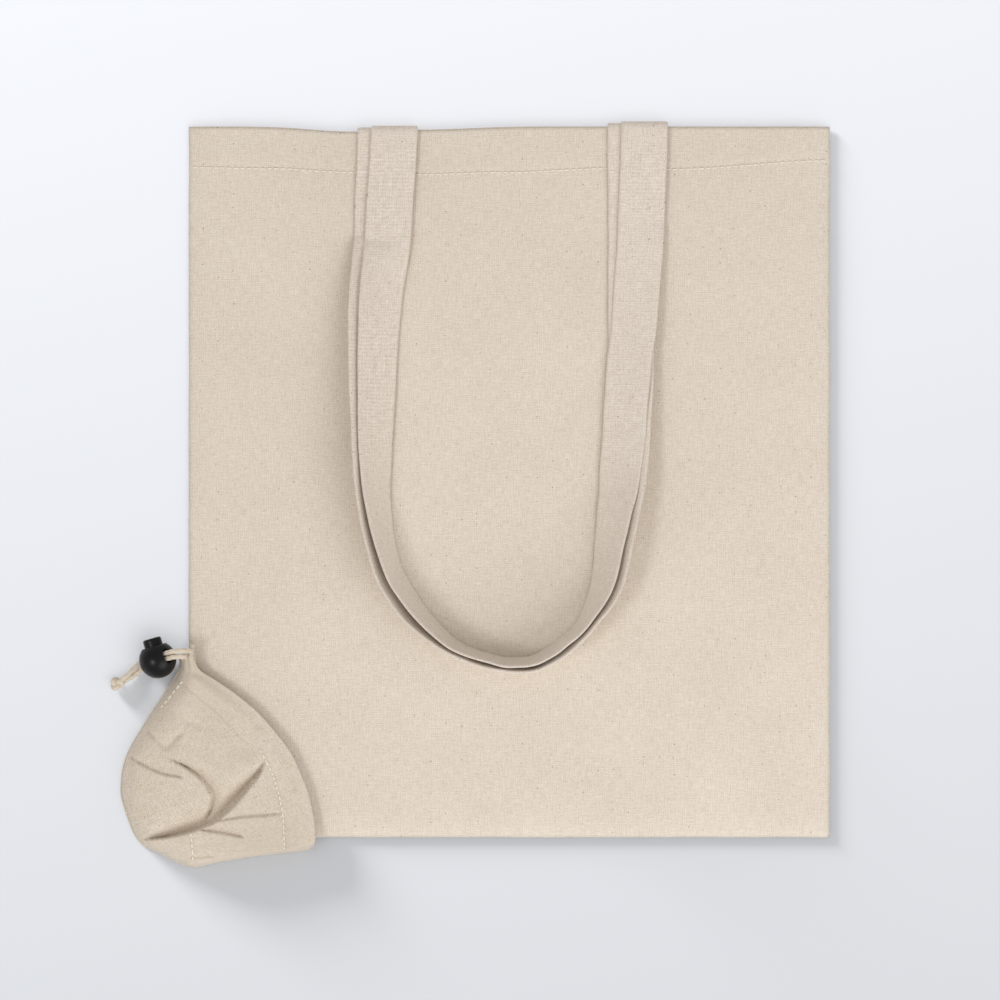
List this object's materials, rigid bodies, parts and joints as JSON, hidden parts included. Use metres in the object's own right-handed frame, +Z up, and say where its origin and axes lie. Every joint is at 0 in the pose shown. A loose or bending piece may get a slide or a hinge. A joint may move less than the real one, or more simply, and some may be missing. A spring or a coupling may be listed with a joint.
{
  "type": "foldable tote bag",
  "caption": "Flat cotton shopping bag with long shoulder handles and a small drawstring pouch at one corner, closed by a cord lock, that the folded bag stows in.",
  "frame": {"origin": "centre of the bag's back panel, on its underside, which lies on the surface", "axes": "+X across the bag to its right, +Y from the bottom seam to the mouth, +Z up out of the front panel"},
  "size_m": [0.4277, 0.4409, 0.0367],
  "materials": {
    "bag_cotton": "plain woven natural cotton, unbleached, matt",
    "strap_cotton": "plain woven natural cotton, folded in four and sewn flat",
    "pouch_cotton": "plain woven natural cotton, unbleached, creased",
    "thread": "off-white sewing thread",
    "cotton_cord": "soft twisted cotton cord",
    "black_plastic": "moulded black acetal, satin gloss",
    "spring_steel": "drawn steel wire"
  },
  "bodies": {
    "bag": {"back_panel": "bag_cotton", "front_panel": "bag_cotton", "back_top_hem": "bag_cotton", "front_top_hem": "bag_cotton", "left_side_seam": "bag_cotton", "right_side_seam": "bag_cotton", "bottom_seam": "bag_cotton", "hem_stitching": "thread", "back_handle_tabs": "strap_cotton", "front_handle_tabs": "strap_cotton", "pouch_back": "pouch_cotton", "pouch_edge_seam": "pouch_cotton", "pouch_front": "pouch_cotton", "pouch_front_channel": "pouch_cotton", "pouch_back_channel": "pouch_cotton", "pouch_anchor_tape": "bag_cotton", "drawstring_channel_loop": "cotton_cord", "drawstring_upper_strand": "cotton_cord", "drawstring_lower_strand": "cotton_cord", "cord_end_knot": "cotton_cord"},
    "back_handle": {"back_handle_loop": "strap_cotton"},
    "front_handle": {"front_handle_loop": "strap_cotton"},
    "cord_lock": {"cord_lock_body": "black_plastic", "cord_lock_spring": "spring_steel"},
    "lock_button": {"cord_lock_button": "black_plastic"}
  },
  "joints": [
    {"name": "back_handle_swing", "type": "hinge", "parent": "bag", "child": "back_handle", "pos_m": [0, 0.2126, 0.0075], "axis": [-1, 0, 0], "range_deg": [0, 180]},
    {"name": "front_handle_swing", "type": "hinge", "parent": "bag", "child": "front_handle", "pos_m": [0, 0.2126, 0.0075], "axis": [-1, 0, 0], "range_deg": [0, 180]},
    {"name": "cord_lock_slide", "type": "slide", "parent": "bag", "child": "cord_lock", "axis": [0.617, 0.1804, 0.766], "range_m": [0, 0.003]},
    {"name": "lock_button_press", "type": "slide", "parent": "cord_lock", "child": "lock_button", "axis": [0.2807, -0.9598, 0], "range_m": [0, 0.0035], "stiffness_N_per_m": 900, "springref_m": -0.004, "deforming": ["cord_lock_spring"]}
  ],
  "couplings": [
    {"joint": "front_handle_swing", "follows": "back_handle_swing", "ratio": 1}
  ]
}
